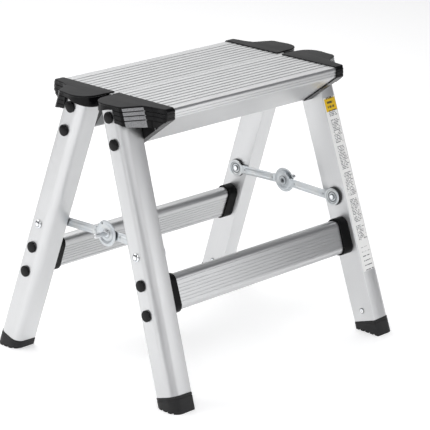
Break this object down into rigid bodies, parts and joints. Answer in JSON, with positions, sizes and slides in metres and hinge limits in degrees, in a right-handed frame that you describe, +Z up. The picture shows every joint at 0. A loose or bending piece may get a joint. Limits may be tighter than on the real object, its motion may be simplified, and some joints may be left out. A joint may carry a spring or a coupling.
{
  "type": "step stool",
  "caption": "Low folding double-sided step stool with a ribbed aluminium platform, splayed D-section legs, black plastic caps and feet, side rungs and folding steel stays.",
  "frame": {"origin": "on the floor under the middle of the platform, with the stool open", "axes": "+Z up, +X along the long side of the platform, +Y from the front half to the rear half; the front half is at -Y"},
  "size_m": [0.484, 0.391, 0.4218],
  "materials": {
    "platform_aluminium": "satin anodised extrusion with fine ribs",
    "leg_aluminium": "satin anodised D-section tube",
    "rung_aluminium": "satin anodised ribbed tube",
    "cap_plastic": "black moulded plastic, fine-grained on top and glossier on the sides",
    "collar_plastic": "black moulded plastic",
    "spacer_plastic": "black moulded plastic washer",
    "foot_rubber": "black moulded rubber",
    "rivet_cover_plastic": "black domed rivet covers",
    "rivet_steel": "bright domed rivets",
    "stay_steel": "zinc-plated pressed steel",
    "rod_steel": "zinc-plated rod",
    "label_film": "white sticker with a yellow header and plain grey bars"
  },
  "bodies": {
    "front_frame": {"platform_front": "platform_aluminium", "hinge_rod": "rod_steel", "leg_label": "label_film", "rung_front": "rung_aluminium", "cap_front_left": "cap_plastic", "leg_front_left": "leg_aluminium", "foot_front_left": "foot_rubber", "rung_collar_front_left": "collar_plastic", "stay_spacer_front_left": "spacer_plastic", "cap_rivet_upper_front_left": "rivet_cover_plastic", "cap_rivet_lower_front_left": "rivet_cover_plastic", "rung_rivet_upper_front_left": "rivet_cover_plastic", "rung_rivet_lower_front_left": "rivet_cover_plastic", "stay_rivet_front_left": "rivet_steel", "foot_rivet_front_left": "rivet_steel", "cap_front_right": "cap_plastic", "leg_front_right": "leg_aluminium", "foot_front_right": "foot_rubber", "rung_collar_front_right": "collar_plastic", "stay_spacer_front_right": "spacer_plastic", "cap_rivet_upper_front_right": "rivet_cover_plastic", "cap_rivet_lower_front_right": "rivet_cover_plastic", "rung_rivet_upper_front_right": "rivet_cover_plastic", "rung_rivet_lower_front_right": "rivet_cover_plastic", "stay_rivet_front_right": "rivet_steel", "foot_rivet_front_right": "rivet_steel"},
    "rear_frame": {"platform_rear": "platform_aluminium", "rung_rear": "rung_aluminium", "cap_rear_left": "cap_plastic", "leg_rear_left": "leg_aluminium", "foot_rear_left": "foot_rubber", "rung_collar_rear_left": "collar_plastic", "stay_spacer_rear_left": "spacer_plastic", "cap_rivet_upper_rear_left": "rivet_cover_plastic", "cap_rivet_lower_rear_left": "rivet_cover_plastic", "rung_rivet_upper_rear_left": "rivet_cover_plastic", "rung_rivet_lower_rear_left": "rivet_cover_plastic", "stay_rivet_rear_left": "rivet_steel", "foot_rivet_rear_left": "rivet_steel", "cap_rear_right": "cap_plastic", "leg_rear_right": "leg_aluminium", "foot_rear_right": "foot_rubber", "rung_collar_rear_right": "collar_plastic", "stay_spacer_rear_right": "spacer_plastic", "cap_rivet_upper_rear_right": "rivet_cover_plastic", "cap_rivet_lower_rear_right": "rivet_cover_plastic", "rung_rivet_upper_rear_right": "rivet_cover_plastic", "rung_rivet_lower_rear_right": "rivet_cover_plastic", "stay_rivet_rear_right": "rivet_steel", "foot_rivet_rear_right": "rivet_steel"},
    "stay_front_link_left": {"stay_link_front_left": "stay_steel", "stay_joint_head_left": "stay_steel"},
    "stay_front_link_right": {"stay_link_front_right": "stay_steel", "stay_joint_head_right": "stay_steel"},
    "stay_rear_link_left": {"stay_link_rear_left": "stay_steel", "stay_finger_pin_left": "stay_steel"},
    "stay_rear_link_right": {"stay_link_rear_right": "stay_steel", "stay_finger_pin_right": "stay_steel"}
  },
  "joints": [
    {"name": "fold", "type": "hinge", "parent": "front_frame", "child": "rear_frame", "pos_m": [0, 0, 0.411], "axis": [-1, 0, 0], "range_deg": [0, 36.7]},
    {"name": "stay_front_left_pivot", "type": "hinge", "parent": "front_frame", "child": "stay_front_link_left", "pos_m": [-0.19505, -0.10327, 0.21], "axis": [0.9994, 0, -0.0354], "range_deg": [0, 50.34]},
    {"name": "stay_front_right_pivot", "type": "hinge", "parent": "front_frame", "child": "stay_front_link_right", "pos_m": [0.19505, -0.10327, 0.21], "axis": [0.9994, 0, 0.0354], "range_deg": [0, 50.34]},
    {"name": "stay_rear_left_pivot", "type": "hinge", "parent": "rear_frame", "child": "stay_rear_link_left", "pos_m": [-0.19505, 0.10327, 0.21], "axis": [-0.9994, 0, 0.0354], "range_deg": [0, 50.34]},
    {"name": "stay_rear_right_pivot", "type": "hinge", "parent": "rear_frame", "child": "stay_rear_link_right", "pos_m": [0.19505, 0.10327, 0.21], "axis": [-0.9994, 0, -0.0354], "range_deg": [0, 50.34]}
  ],
  "couplings": [
    {"joint": "stay_front_left_pivot", "follows": "fold", "ratio": 1.3713},
    {"joint": "stay_front_right_pivot", "follows": "fold", "ratio": 1.3713},
    {"joint": "stay_rear_left_pivot", "follows": "fold", "ratio": 1.3713},
    {"joint": "stay_rear_right_pivot", "follows": "fold", "ratio": 1.3713}
  ]
}
